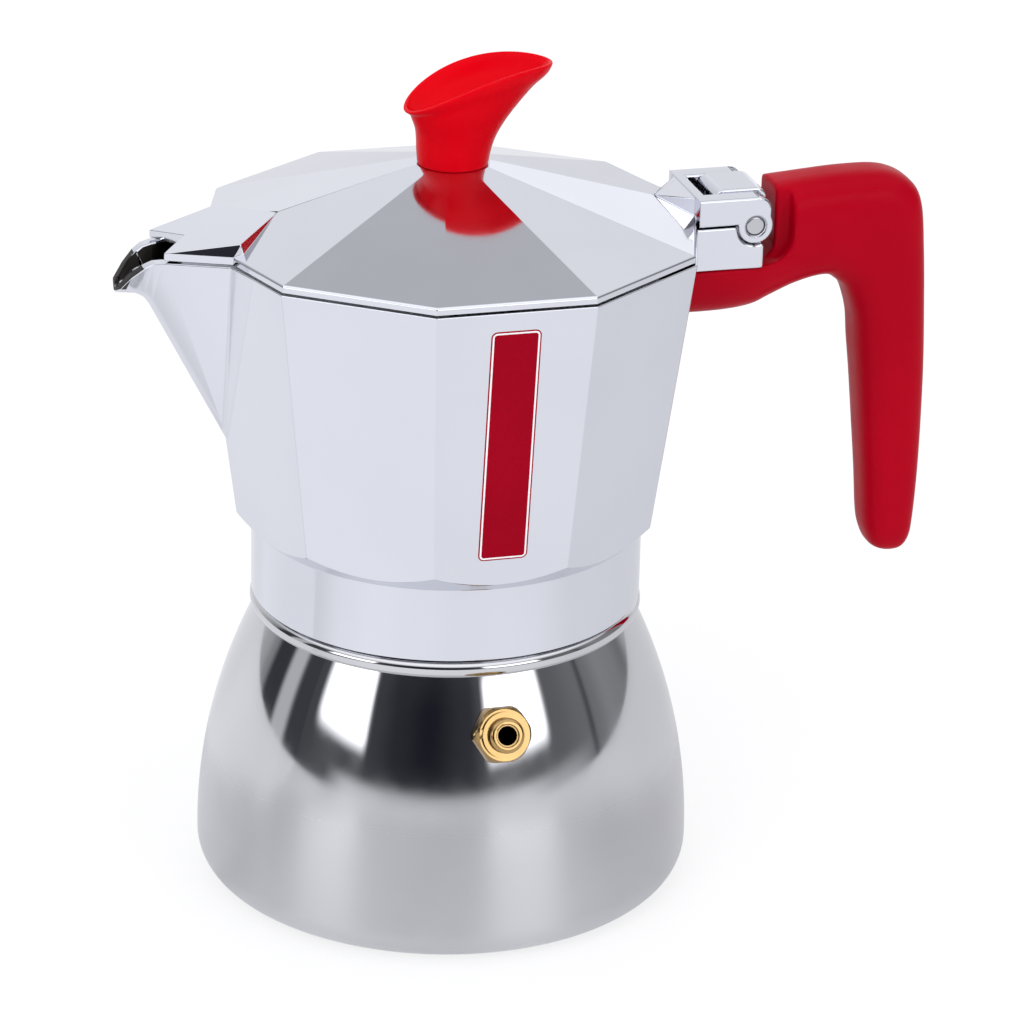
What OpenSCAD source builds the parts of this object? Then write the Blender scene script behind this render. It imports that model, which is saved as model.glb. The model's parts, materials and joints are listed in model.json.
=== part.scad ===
// Stove-top moka pot, three-cup size.
// Origin at the centre of the boiler's flat base, +Z up.
// The handle is towards +X, the spout towards -X, the safety valve towards -Y.

/* [Boiler] */
// Widest radius of the boiler, low on its side
belly_r = 46.15; // [44:0.05:49]
// Height of the widest ring
belly_z = 6.7; // [6.5:0.1:9]
// Radius of the rounded corner between base and side
base_round = 6.5; // [4:0.1:6.5]
// Sheet thickness of the boiler
boiler_wall = 1.0; // [0.7:0.1:1.4]
// Height of the top of the shoulder
shoulder_z = 53.4; // [52:0.1:55]
// Width of the flat step round the neck at the top of the shoulder
shoulder_step = 1.2; // [0.6:0.1:3]
// Outside radius of the rolled bead under the collar
bead_r = 35.8; // [35.5:0.1:38]
// Height of the rolled bead
bead_h = 3.3; // [2:0.1:3.6]
// Rounding of the rolled bead
bead_round = 1.2; // [0.5:0.1:1.4]
// Wall thickness of the threaded neck
neck_wall = 1.7; // [1.2:0.1:2.2]
// How far the neck reaches up into the collar
neck_h = 9.0; // [7:0.1:10]

/* [Upper chamber] */
// Number of flat sides of the chamber and the lid
sides = 10; // [8:1:12]
// Outside radius of the screw collar
collar_r = 36.0; // [35:0.1:38]
// Height of the collar's lower edge
collar_z = 56.15; // [55:0.05:58]
// Height of the screw collar
collar_h = 13.85; // [12:0.05:16]
// Wall thickness of the collar
collar_wall = 2.3; // [1.8:0.1:3]
// Corner radius of the many-sided body at the collar's top edge
body_r_low = 39.12; // [37:0.05:41]
// Corner radius of the many-sided body at its rim
body_r_top = 46.6; // [45:0.1:49]
// Height of the many-sided body above the collar
body_h = 55.05; // [48:0.05:62]
// Wall thickness of the chamber
chamber_wall = 2.2; // [1.6:0.1:3]
// Thickness of the chamber's floor at its edge
floor_t = 4.2; // [3:0.1:6]

/* [Spout] */
// How far the spout's tip reaches past the body's corner
spout_out = 15.2; // [12:0.1:19]
// Half the width of the spout where it leaves the rim
spout_half_w = 11.6; // [9:0.1:14]
// Width of the narrow flank between the spout and the body, at the rim
spout_flank = 6.8; // [4:0.1:9]
// Half the width of the open tip
tip_half_w = 3.4; // [2.6:0.1:5]
// How far the tip's lip lies below the rim
tip_drop = 5.6; // [4:0.1:8]
// How far below the rim the keel leaves the body
keel_drop = 36.6; // [30:0.1:44]
// Wall thickness of the spout
spout_wall = 1.8; // [1.2:0.1:2.4]

/* [Lid] */
// Gap between the chamber's rim and the lid
lid_gap = 0.3; // [0.2:0.05:0.6]
// Height of the lid's edge band
lid_band_h = 1.45; // [1:0.05:2.5]
// Width of the bevel on the edge band
lid_bevel = 0.35; // [0.1:0.05:0.6]
// Rise of the lid from its edge band to the knob's seat
lid_rise = 11.1; // [8:0.1:14]
// Radius of the knob's seat on the lid
knob_seat_r = 6.9; // [6:0.1:9]
// Sheet thickness of the lid
lid_wall = 1.8; // [1.2:0.1:2.4]
// How far the tongue over the spout reaches past the body's corner
tongue_out = 7.4; // [4:0.1:10]
// Rise of the tongue from its tip to its corners on the lid
tongue_rise = 2.3; // [1:0.1:3]
// Depth of the notch in the tongue's front edge
tongue_notch = 5.0; // [2:0.1:7]

/* [Hinge] */
// Distance of the hinge pin from the body's corner
pin_out = 8.0; // [6.5:0.1:12]
// Radius of the hinge pin
pin_r = 1.75; // [1.2:0.05:2.2]
// Total width of the hinge
hinge_w = 19.0; // [16:0.1:24]
// Width of the lid's tail where it meets the hinge
tail_w = 13.0; // [10:0.1:18]
// Width of the hinge's middle knuckle
knuckle_w = 10.4; // [8:0.1:13]
// Height of the hinge's top face above the pin
hinge_top = 5.5; // [4:0.1:7]
// Radius of the lid's ears around the pin
ear_r = 3.3; // [2.8:0.1:4]
// Height of the bracket below the pin
bracket_drop = 8.1; // [6:0.1:11]
// Running clearance between moving parts
run_gap = 0.3; // [0.2:0.05:0.5]
// Radial clearance of the lid's ears on the pin
pin_gap = 0.06; // [0.02:0.01:0.1]

/* [Handle] */
// Reach of the handle's outer face from the hinge pin
handle_out = 36.9; // [32:0.1:44]
// Height of the handle's lower end
handle_end_z = 55.2; // [48:0.1:64]
// Thickness of the grip seen from the side, near its top
grip_t = 15.0; // [12:0.1:18]
// Thickness of the grip seen from the side, near its lower end
grip_t_low = 10.8; // [8:0.1:14]
// Half the width of the arm and the top of the grip
handle_half_w = 7.2; // [6:0.1:9]
// Half the width of the grip near its lower end
grip_half_w_low = 5.6; // [4:0.1:7]
// Depth of the arm under the hinge bracket
arm_t = 9.7; // [8:0.1:13]
// Squareness of the handle's section, 2 is an ellipse
handle_square = 3.0; // [2:0.1:5]
// Width of the handle's web behind the hinge's knuckle
web_w = 9.3; // [7:0.1:11]

/* [Knob] */
// Radius of the knob's foot
knob_foot_r = 6.4; // [5.5:0.1:6.8]
// Height of the knob's lower, blunt edge above its foot
knob_low_h = 10.1; // [9:0.1:14]
// Height of the knob's long tip above its foot
knob_tip_h = 17.6; // [15:0.1:22]
// Reach of the blunt edge from the knob's axis
knob_back = 9.0; // [8:0.1:12]
// Reach of the long tip from the knob's axis
knob_tip = 18.0; // [14:0.1:24]
// Half the width of the knob's dish
knob_half_w = 8.3; // [7.2:0.1:10]

/* [Safety valve] */
// Height of the valve on the boiler's side
valve_z = 43.0; // [38:0.1:44]
// Corner radius of the valve's hexagon
hex_r = 5.67; // [5:0.05:6.5]
// Thickness of the valve's hexagon
hex_h = 3.2; // [2.5:0.1:4]
// Radius of the valve's threaded shank
shank_r = 4.0; // [3.6:0.1:4.4]
// Radius of the valve's nose ring
nose_r = 3.2; // [2.9:0.1:3.8]
// Radius of the steam outlet
outlet_r = 1.7; // [1.2:0.1:2]
// Radius of the valve's ball
ball_r = 1.9; // [1.6:0.05:2.1]
// Travel of the ball when the valve blows off
ball_travel = 0.8; // [0.5:0.1:1.2]

/* [Funnel] */
// Inside radius of the coffee basket
basket_r = 25.4; // [23:0.1:27]
// Depth of the coffee basket above its screen
basket_depth = 18.0; // [14:0.1:22]
// Outside radius of the funnel's stem
stem_r = 5.0; // [4.4:0.1:6]
// Height of the stem's lower end above the base
stem_end_z = 7.0; // [4:0.1:12]
// Sheet thickness of the funnel and the filter plates
sheet_t = 0.8; // [0.6:0.1:1.2]
// Radius of the holes in the plates
perf_r = 0.6; // [0.4:0.1:0.9]

/* [Brewing parts] */
// Outside radius of the brew column's foot
column_r = 6.4; // [5.5:0.1:8]
// Height of the brew column above the chamber's floor
column_h = 38.0; // [28:0.5:44]
// Inside radius of the brew column
column_bore_r = 3.0; // [2.4:0.1:3.6]
// Inside radius of the gasket
gasket_in_r = 27.4; // [26.9:0.1:28.5]

/* [Hidden] */
$fn = 96;
// A hair of overlap for cuts that pass through a face
eps = 0.5;
// Height of cuts that run clear of everything above them
clear_h = 30;
// Clearance of parts that are pressed or screwed together
seat_gap = 0.02;

steel = [0.72, 0.73, 0.75];
alloy = [0.84, 0.85, 0.89];
brass = [0.83, 0.66, 0.30];
handle_red = [0.68, 0.04, 0.09];
knob_red = [0.88, 0.07, 0.08];
seal_white = [0.90, 0.89, 0.85];

// Boiler heights and radii
bead_z = collar_z - run_gap - bead_h;
neck_top_z = collar_z + neck_h;
collar_in_r = collar_r - collar_wall;
neck_r = collar_in_r - run_gap;
neck_in_r = neck_r - neck_wall;
// The side is one arc from the widest ring, where it stands upright, to the shoulder
shoulder_r = neck_r + shoulder_step;
side_depth = belly_r - shoulder_r;
side_rise = shoulder_z - belly_z;
side_r = (side_depth * side_depth + side_rise * side_rise) / (2 * side_depth);

// Chamber heights
body_z = collar_z + collar_h;
rim_z = body_z + body_h;
seat_z = body_z - 1.0;
floor_z = seat_z + floor_t;
face_cos = cos(180 / sides);
chamber_wall_r = chamber_wall / face_cos;

// How far a flat side falls back from its corner, for each millimetre across
side_lean = tan(180 / sides);
// Radius of the body's corners at a height
function body_r(z) = body_r_low + (body_r_top - body_r_low) * (z - body_z) / body_h;

// Lid heights
lid_z = rim_z + lid_gap;
lid_edge_z = lid_z + lid_band_h;
lid_r = body_r_top - 0.35;
knob_seat_z = lid_edge_z + lid_rise;
lid_slope = lid_rise / (lid_r - lid_bevel - knob_seat_r);

// Hinge
pin_x = body_r_top + pin_out;
pin_z = rim_z - 0.07;
hinge_top_z = pin_z + hinge_top;
bracket_z = pin_z - bracket_drop;
// Front edge of the lid's fork, and of the gap in it ahead of the bracket's knuckle
fork_x = pin_x - 10.8;
window_x = fork_x + 2.0;
knuckle_front = 6.7;
knuckle_back = 3.3;
bracket_back = 1.7;
ear_back = 2.9;
ear_round = 2.4;

// ---------------------------------------------------------------- boiler

// Half section of the boiler's outline, moved inwards by an inset
module boiler_outline(inset) {
    base_r = belly_r - base_round;
    translate([base_r, base_round])
        circle(r = base_round - inset);
    translate([0, inset])
        square([base_r, 2 * base_round - 2 * inset]);
    intersection() {
        translate([belly_r - side_r, belly_z])
            circle(r = side_r - inset, $fn = 360);
        translate([0, base_round])
            square([belly_r, shoulder_z - base_round - 2 * inset]);
    }
}

// Rectangle with rounded corners, given by two opposite corners
module round_rect(low, high, r) {
    translate([low[0] + r, low[1]])
        square([high[0] - low[0] - 2 * r, high[1] - low[1]]);
    translate([low[0], low[1] + r])
        square([high[0] - low[0], high[1] - low[1] - 2 * r]);
    for (x = [low[0] + r, high[0] - r])
        for (z = [low[1] + r, high[1] - r])
            translate([x, z])
                circle(r = r);
}

module boiler() color(steel) difference() {
    union() {
        rotate_extrude()
            difference() {
                union() {
                    boiler_outline(0);
                    round_rect([neck_in_r, bead_z], [bead_r, bead_z + bead_h], bead_round);
                    translate([neck_in_r, bead_z])
                        square([neck_wall, neck_top_z - bead_z]);
                    translate([neck_in_r, shoulder_z - 2 * boiler_wall])
                        square([neck_wall, 2 * boiler_wall + eps]);
                }
                boiler_outline(boiler_wall);
                translate([0, shoulder_z - 3 * boiler_wall])
                    square([neck_in_r, neck_h + 10 * boiler_wall]);
            }
    }
    valve_place()
        translate([0, 0, -3])
            cylinder(h = 6, r = shank_r + 0.1);
}

// ---------------------------------------------------------------- safety valve

valve_tilt = asin((valve_z - belly_z) / side_r);
valve_y = belly_r - side_r + side_r * cos(valve_tilt);
// Lengths along the valve's axis, outwards from the boiler's skin
step_h = 0.7;
nose_h = 1.5;
washer_in = -boiler_wall - 0.55;
washer_t = 0.8;
nut_t = 2.8;
chamber_r = ball_r + 0.5;
cap_thread_r = 2.7;
cap_in = 0.6;
ball_seat_r = 1.2;
spring_wire_r = 0.28;
spring_turns = 5;
// The spring's length leaves the ball its travel before the coils meet
touch_gap = 0.05;
spring_h = 2 * spring_wire_r * (spring_turns + 1) + ball_travel + 0.35;
ball_z = cap_in - spring_h - 2 * touch_gap - ball_r;
seat_in = ball_z - sqrt(ball_r * ball_r - ball_seat_r * ball_seat_r) - touch_gap;
shank_in = seat_in - 1.6;

// Puts a part on the boiler's side, its own +Z along the surface normal
module valve_place() {
    translate([0, -valve_y, valve_z])
        rotate([90 - valve_tilt, 0, 0])
            children();
}

module valve_body() color(brass) valve_place() difference() {
    union() {
        intersection() {
            cylinder(h = hex_h, r = hex_r, $fn = 6);
            cylinder(h = 2 * hex_h, r1 = hex_r + 1.7 * hex_h * 0.5, r2 = hex_r - 1.7 * hex_h * 0.62);
        }
        cylinder(h = hex_h + step_h, r = nose_r + 1.0);
        translate([0, 0, shank_in])
            cylinder(h = -shank_in + eps, r = shank_r);
    }
    translate([0, 0, shank_in - eps])
        cylinder(h = -shank_in + hex_h + 2, r = ball_seat_r);
    translate([0, 0, seat_in])
        cylinder(h = cap_in - seat_in + eps, r = chamber_r);
    translate([0, 0, cap_in])
        cylinder(h = hex_h + 2, r = cap_thread_r + seat_gap);
}

module valve_cap() color(brass) valve_place() difference() {
    union() {
        translate([0, 0, cap_in + seat_gap])
            cylinder(h = hex_h + step_h - cap_in, r = cap_thread_r);
        translate([0, 0, hex_h + step_h + seat_gap])
            rotate_extrude()
                difference() {
                    union() {
                        square([nose_r, nose_h - 0.7]);
                        square([nose_r - 0.7, nose_h]);
                        translate([nose_r - 0.7, nose_h - 0.7])
                            circle(r = 0.7);
                    }
                    translate([-nose_r, -eps])
                        square([nose_r, 3 * nose_h]);
                }
    }
    translate([0, 0, cap_in - eps])
        cylinder(h = 3 * hex_h, r = outlet_r);
    translate([0, 0, hex_h + step_h + nose_h - 0.35])
        cylinder(h = 2, r = outlet_r + 0.35);
}

module valve_washer() color(seal_white) valve_place()
    translate([0, 0, washer_in - washer_t])
        difference() {
            cylinder(h = washer_t, r = shank_r + 1.9);
            translate([0, 0, -eps])
                cylinder(h = washer_t + 2 * eps, r = shank_r + 0.1);
        }

module valve_nut() color(brass) valve_place()
    translate([0, 0, washer_in - washer_t - nut_t])
        difference() {
            cylinder(h = nut_t, r = hex_r + 0.8, $fn = 6);
            translate([0, 0, -eps])
                cylinder(h = nut_t + 2 * eps, r = shank_r + seat_gap);
        }

module valve_ball() color(steel) valve_place()
    translate([0, 0, ball_z])
        sphere(r = ball_r);

// Coil spring as one tube swept along a helix, from one height to another
module coil_spring(coil_r, wire_r, low, high, turns, per_turn = 14, ring = 6) {
    steps = turns * per_turn;
    points = [for (i = [0:steps]) for (k = [0:ring - 1])
        let (a = 360 * i / per_turn, b = 360 * k / ring, r = coil_r + wire_r * cos(b))
        [r * cos(a), r * sin(a), low + (high - low) * i / steps + wire_r * sin(b)]];
    faces = concat(
        [[for (k = [0:ring - 1]) k]],
        [for (i = [0:steps - 1]) for (k = [0:ring - 1])
            [i * ring + k, (i + 1) * ring + k, i * ring + (k + 1) % ring]],
        [for (i = [0:steps - 1]) for (k = [0:ring - 1])
            [(i + 1) * ring + k, (i + 1) * ring + (k + 1) % ring, i * ring + (k + 1) % ring]],
        [[for (k = [ring - 1:-1:0]) steps * ring + k]]
    );
    polyhedron(points, faces);
}

module valve_spring() color(steel) valve_place()
    coil_spring(chamber_r - spring_wire_r - 0.2, spring_wire_r, ball_z + ball_r + touch_gap + spring_wire_r,
        cap_in - touch_gap - spring_wire_r, spring_turns);

// ---------------------------------------------------------------- funnel and plates

flange_z = neck_top_z + 0.1;
flange_r = neck_r - 0.7;
screen_z = flange_z + sheet_t - basket_depth - sheet_t;
cone_h = 4.0;

// Sheet-metal basket with a stem, turned from one half section
module funnel() color(alloy) {
    out_r = basket_r + sheet_t;
    ledge_r = basket_r - 1.2;
    stem_in_r = stem_r - sheet_t;
    top = flange_z + sheet_t;
    rotate_extrude()
        polygon([
            [basket_r, top],
            [flange_r, top],
            [flange_r, flange_z],
            [out_r, flange_z],
            [out_r, screen_z - sheet_t],
            [stem_r + 1.2, screen_z - sheet_t - cone_h],
            [stem_r, screen_z - sheet_t - cone_h - 1.2],
            [stem_r, stem_end_z],
            [stem_in_r, stem_end_z],
            [stem_in_r, screen_z - cone_h],
            [ledge_r, screen_z - seat_gap],
            [basket_r, screen_z - seat_gap]
        ]);
}

// Round plate with rings of small holes
module perforated_plate(r, rings, pitch) {
    linear_extrude(height = sheet_t)
        difference() {
            circle(r = r);
            circle(r = perf_r, $fn = 24);
            for (ring = [1:rings])
                for (k = [0:6 * ring - 1])
                    rotate([0, 0, 60 * k / ring])
                        translate([ring * pitch, 0])
                            circle(r = perf_r, $fn = 24);
        }
}

module funnel_screen() color(steel)
    translate([0, 0, screen_z])
        perforated_plate(basket_r - 0.15, 4, (basket_r - 4) / 4);

gasket_z = flange_z + sheet_t + run_gap;
gasket_r = collar_in_r - 0.4;
plate_r = gasket_in_r - 0.35;
plate_z = gasket_z + 0.3;
plate_lip = 1.0;

module gasket() color(seal_white)
    translate([0, 0, gasket_z])
        rotate_extrude()
            round_rect([gasket_in_r, 0], [gasket_r, seat_z - gasket_z - 0.15], 0.4);

module filter_plate() color(steel) {
    translate([0, 0, plate_z])
        perforated_plate(plate_r, 4, (plate_r - 5) / 4);
    translate([0, 0, plate_z])
        difference() {
            cylinder(h = sheet_t + plate_lip, r = plate_r);
            translate([0, 0, -eps])
                cylinder(h = sheet_t + plate_lip + 2 * eps, r = plate_r - sheet_t);
        }
}

// ---------------------------------------------------------------- upper chamber

// Many-sided taper of the body, its skin moved inwards by an inset
module body_taper(z_low, z_high, inset) {
    translate([0, 0, z_low])
        cylinder(h = z_high - z_low, r1 = body_r(z_low) - inset, r2 = body_r(z_high) - inset, $fn = sides);
}

// One ring of points across the spout: a V with a rounded keel
// keel = [x, z] of the keel, top = [x, half width, z] of the edge, blend = rounding length
function spout_ring(keel, top, blend) =
    let (
        side = norm([top[0] - keel[0], top[1], top[2] - keel[1]]),
        c = min(0.45, blend / side),
        kx = (keel[0] - 0.5 * c * top[0]) / (1 - 0.5 * c),
        kz = (keel[1] - 0.5 * c * top[2]) / (1 - 0.5 * c),
        far = [top[0], top[1], top[2]],
        near = [top[0], -top[1], top[2]],
        tip = [kx, 0, kz],
        p0 = tip + (near - tip) * c,
        p2 = tip + (far - tip) * c
    )
    concat([near], [for (u = [0:0.25:1]) p0 * (1 - u) * (1 - u) + tip * 2 * u * (1 - u) + p2 * u * u], [far]);

// The same ring with its two edges carried straight up to a height
function open_ring(keel, top, blend, up_x, up_z) =
    concat([[up_x, -top[1], up_z]], spout_ring(keel, top, blend), [[up_x, top[1], up_z]]);

// Closed solid through a list of rings that have the same number of points
module loft(rings) {
    n = len(rings[0]);
    m = len(rings);
    points = [for (ring = rings) for (p = ring) p];
    faces = concat(
        [[for (k = [n - 1:-1:0]) k]],
        [for (i = [0:m - 2]) for (k = [0:n - 1])
            [i * n + k, i * n + (k + 1) % n, (i + 1) * n + k]],
        [for (i = [0:m - 2]) for (k = [0:n - 1])
            [i * n + (k + 1) % n, (i + 1) * n + (k + 1) % n, (i + 1) * n + k]],
        [[for (k = [0:n - 1]) (m - 1) * n + k]]
    );
    polyhedron(points, faces);
}

// Stations along the spout, from the body's corner to the tip:
// keel x and depth below the rim, then edge x, half width and depth below the rim
spout_reach = body_r_top + spout_out;
keel_x = body_r(rim_z - keel_drop);
flank_w = spout_half_w + spout_flank;
flank_x = body_r_top - flank_w * side_lean;
root_x = body_r_top - spout_half_w * side_lean + 0.3;
elbow_x = spout_reach - 6.4;
elbow_drop = tip_drop + 4.3;
spout_stations = [
    [keel_x - 6, keel_drop + 11.3, flank_x - 4.1, flank_w + 3, 0],
    [keel_x, keel_drop, flank_x, flank_w, 0],
    [keel_x + 0.7, keel_drop - 1.3, root_x, spout_half_w, 0],
    [elbow_x, elbow_drop, elbow_x - 1.3, tip_half_w + 3.6, 0],
    [elbow_x + 1.1, elbow_drop - 1.5, elbow_x + 0.4, tip_half_w + 3.0, 0.25],
    [elbow_x + 2.6, elbow_drop - 2.3, elbow_x + 2.0, tip_half_w + 2.3, 1.2],
    [elbow_x + 4.6, elbow_drop - 2.6, elbow_x + 4.0, tip_half_w + 1.2, 3.1],
    [spout_reach, tip_drop + 1.4, spout_reach - 0.5, tip_half_w, tip_drop]
];

module spout_outer()
    loft([for (s = spout_stations)
        spout_ring([-s[0], rim_z - s[1]], [-s[2], s[3], rim_z - s[4]], 3.2)]);

// The channel: the same stations moved in by the wall and carried above the rim and past the tip
module spout_channel() {
    side_in = spout_wall * 1.25;
    up_z = rim_z + 6;
    last = spout_stations[len(spout_stations) - 1];
    first = spout_stations[1];
    first_k = [-first[0] + 6, rim_z - first[1] - 4];
    first_t = [-first[2] + 6, first[3] - side_in, rim_z];
    first_x = first_t[0] + (first_t[0] - first_k[0]) * (up_z - rim_z) / (rim_z - first_k[1]);
    end_x = -last[0] - 3;
    loft(concat(
        [open_ring(first_k, first_t, 2.4, first_x, up_z)],
        [for (i = [1:len(spout_stations) - 1])
            let (s = spout_stations[i], edge_x = -s[2] + spout_wall * 0.3)
            open_ring([-s[0] + spout_wall * 0.9, rim_z - s[1] + spout_wall * 0.75],
                [edge_x, s[3] - side_in, rim_z - s[4] + 0.4], 2.4, edge_x, up_z)],
        [open_ring([end_x, rim_z - last[1] + spout_wall * 0.75 - 0.3],
            [end_x, last[3] - side_in * 0.6, rim_z - last[4]], 2.4, end_x, up_z)]
    ));
}

// Extrudes a side view (x across, z up) to a width, centred on the pot's middle plane
module side_extrude(w) {
    rotate([90, 0, 0])
        linear_extrude(height = w, center = true)
            children();
}

// The body's outside, or its inside moved in by a wall: the taper, cut by a cone that runs up from the collar
module body_shape(z_low, z_high, inset) {
    intersection() {
        body_taper(z_low, z_high, inset);
        translate([0, 0, body_z])
            cylinder(h = 2 * body_h, r1 = collar_r - 1.5 * inset, r2 = collar_r + 2 * body_h - 1.5 * inset);
    }
}

// Cast bracket: a wide block under the lid's ears and a middle knuckle round the pin
module hinge_bracket() {
    block_x = body_r_top - 8;
    side_extrude(hinge_w)
        difference() {
            translate([block_x, bracket_z])
                square([pin_x + bracket_back - block_x, rim_z - bracket_z]);
            translate([pin_x, pin_z])
                circle(r = ear_r + run_gap);
            translate([pin_x, pin_z - ear_r - run_gap / 2])
                square(clear_h);
        }
    side_extrude(knuckle_w)
        round_rect([pin_x - knuckle_front, bracket_z + 3], [pin_x + knuckle_back, hinge_top_z + 0.4], 2.0);
}

module upper_chamber() color(alloy) difference() {
    union() {
        body_shape(body_z, rim_z, 0);
        translate([0, 0, collar_z])
            cylinder(h = collar_h, r = collar_r);
        spout_outer();
        hinge_bracket();
    }
    body_shape(floor_z, rim_z + 0.01, chamber_wall_r);
    spout_channel();
    translate([0, 0, collar_z - eps])
        cylinder(h = seat_z - collar_z + eps, r = collar_in_r);
    translate([0, 0, seat_z - eps])
        cylinder(h = 1.8 + eps, r1 = gasket_in_r - 1.4, r2 = column_r + 2);
    translate([0, 0, seat_z])
        cylinder(h = 20, r = column_press_r);
    translate([pin_x, 0, pin_z])
        rotate([90, 0, 0])
            cylinder(h = hinge_w + 2, r = pin_r + seat_gap, center = true);
    translate([screw_x, 0, bracket_z - 1])
        cylinder(h = screw_thread_h + 1, r = screw_r + seat_gap);
}

// ---------------------------------------------------------------- brew column

column_press_r = column_r - 1.2;
column_low_z = seat_z + 1.8;
column_top_z = floor_z + column_h;
column_top_r = column_r - 1.4;

module brew_column() color(alloy) difference() {
    union() {
        translate([0, 0, column_low_z])
            cylinder(h = floor_z - column_low_z + eps, r = column_press_r - seat_gap);
        translate([0, 0, floor_z + seat_gap])
            cylinder(h = 1.2, r = column_r + 1.2);
        translate([0, 0, floor_z + seat_gap])
            cylinder(h = column_h - 1.5, r1 = column_r, r2 = column_top_r);
        translate([0, 0, column_top_z - 1.5])
            cylinder(h = 1.5, r1 = column_top_r, r2 = column_top_r - 1.5);
    }
    translate([0, 0, column_low_z - eps])
        cylinder(h = column_top_z - 2 - column_low_z + eps, r = column_bore_r);
    translate([0, 0, column_top_z - 5])
        cube([3.6, 4 * column_r, 4], center = true);
}

// ---------------------------------------------------------------- handle

screw_x = pin_x - 4;
screw_r = 1.95;
screw_thread_h = 5.5;
screw_head_r = 3.5;
screw_head_h = 2.4;
head_pocket = 3.6;
arm_z = bracket_z - arm_t;
notch_x = pin_x + 5.4;
notch_round = 3;
// The notch runs deeper on both sides of the web
deep_x = notch_x + 2.7;
deep_round = 5;
handle_top_z = hinge_top_z + 1.8;
arm_half_w = hinge_w / 2 + 0.2;
handle_reach = pin_x + handle_out;

// Superellipse across the handle between an outer and an inner point [x, z]
function handle_ring(outer, inner, half_w, n = 24) =
    [for (k = [0:n - 1])
        let (
            a = 360 * k / n,
            c = sign(cos(a)) * pow(abs(cos(a)), 2 / handle_square),
            s = sign(sin(a)) * pow(abs(sin(a)), 2 / handle_square),
            mid = (outer + inner) / 2,
            arm = (outer - inner) / 2
        )
        [mid[0] + arm[0] * c, half_w * s, mid[1] + arm[1] * c]];

// Control points of the handle, from the pot to its lower end:
// outer point x and z, inner point x and z, half width
grip_in = handle_reach - grip_t;
grip_in_low = handle_reach - grip_t_low;
w_top = handle_half_w;
w_low = grip_half_w_low;
handle_points = [
    [body_r_low, handle_top_z - 1.8, body_r_low, arm_z, arm_half_w],
    [pin_x - 4, handle_top_z - 1.9, pin_x - 5.4, arm_z, arm_half_w],
    [pin_x + 3.5, handle_top_z - 1.7, pin_x + 0.8, arm_z + 0.5, arm_half_w - 0.9],
    [handle_reach - 29, handle_top_z - 1.3, grip_in - 17.2, arm_z + 1.9, w_top + 0.7],
    [handle_reach - 23.5, handle_top_z - 0.8, grip_in - 12.6, arm_z + 3.7, w_top + 0.1],
    [handle_reach - 16.6, handle_top_z - 0.4, grip_in - 8.5, arm_z + 4.8, w_top],
    [handle_reach - 9.4, handle_top_z - 0.7, grip_in - 5.5, arm_z + 5.0, w_top + 0.1],
    [handle_reach - 4.8, handle_top_z - 2.9, grip_in - 3.4, arm_z + 3.8, w_top + 0.1],
    [handle_reach - 2.5, handle_top_z - 6.8, grip_in - 1.4, arm_z + 1.6, w_top + 0.1],
    [handle_reach - 1.5, handle_top_z - 16.3, grip_in + 0.4, arm_z - 3.9, w_top],
    [handle_reach - 0.8, handle_top_z - 27, grip_in + 1.0, arm_z - 9.7, w_top - 0.2],
    [handle_reach - 0.2, handle_top_z - 39, grip_in + 1.8, handle_end_z + 35.6, w_top - 0.5],
    [handle_reach, handle_end_z + 24.8, grip_in + 2.8, handle_end_z + 25.9, w_low + 0.7],
    [handle_reach - 0.1, handle_end_z + 14.8, grip_in_low - 0.4, handle_end_z + 15.9, w_low + 0.3],
    [handle_reach - 0.5, handle_end_z + 6.8, grip_in_low + 0.3, handle_end_z + 7.5, w_low],
    [handle_reach - 0.9, handle_end_z + 3.4, grip_in_low + 1.0, handle_end_z + 4.1, w_low - 0.5],
    [handle_reach - 1.9, handle_end_z + 1.2, grip_in_low + 2.2, handle_end_z + 1.6, w_low - 1.6],
    [handle_reach - 3.6, handle_end_z, grip_in_low + 4.4, handle_end_z + 0.3, w_low - 3.6]
];
handle_steps = 4;

// Point on the smooth curve through a list of points, between point i and the next one
function smooth_point(p, i, u) =
    let (a = p[max(i - 1, 0)], b = p[i], c = p[i + 1], d = p[min(i + 2, len(p) - 1)])
    (2 * b + (c - a) * u + (2 * a - 5 * b + 4 * c - d) * u * u + (3 * b - a - 3 * c + d) * u * u * u) / 2;

// Side view of a notch above the bracket, up to a depth, with a rounded corner
module notch_outline(depth_x, r) {
    translate([0, bracket_z])
        square([depth_x - r, 2 * clear_h]);
    translate([0, bracket_z + r])
        square([depth_x, 2 * clear_h]);
    translate([depth_x - r, bracket_z + r])
        circle(r = r);
}

module handle() color(handle_red) difference() {
    last = len(handle_points) - 1;
    path = concat(
        [for (i = [0:last - 1]) for (k = [0:handle_steps - 1])
            smooth_point(handle_points, i, k / handle_steps)],
        [handle_points[last]]
    );
    loft([for (p = path) handle_ring([p[0], p[1]], [p[2], p[3]], p[4])]);
    // Room for the bracket and the lid's ears above the arm
    side_extrude(4 * handle_half_w)
        notch_outline(notch_x, notch_round);
    for (side = [-1, 1])
        translate([0, side * (web_w / 2 + handle_half_w), 0])
            side_extrude(2 * handle_half_w)
                notch_outline(deep_x, deep_round);
    // The arm's end fits the body's corner
    body_taper(body_z, rim_z + 5, -0.1);
    translate([screw_x, 0, arm_z - eps])
        cylinder(h = 30, r = screw_r + 0.25);
    translate([screw_x, 0, arm_z - 2])
        cylinder(h = head_pocket + 2, r = screw_head_r + 0.3);
}

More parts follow.
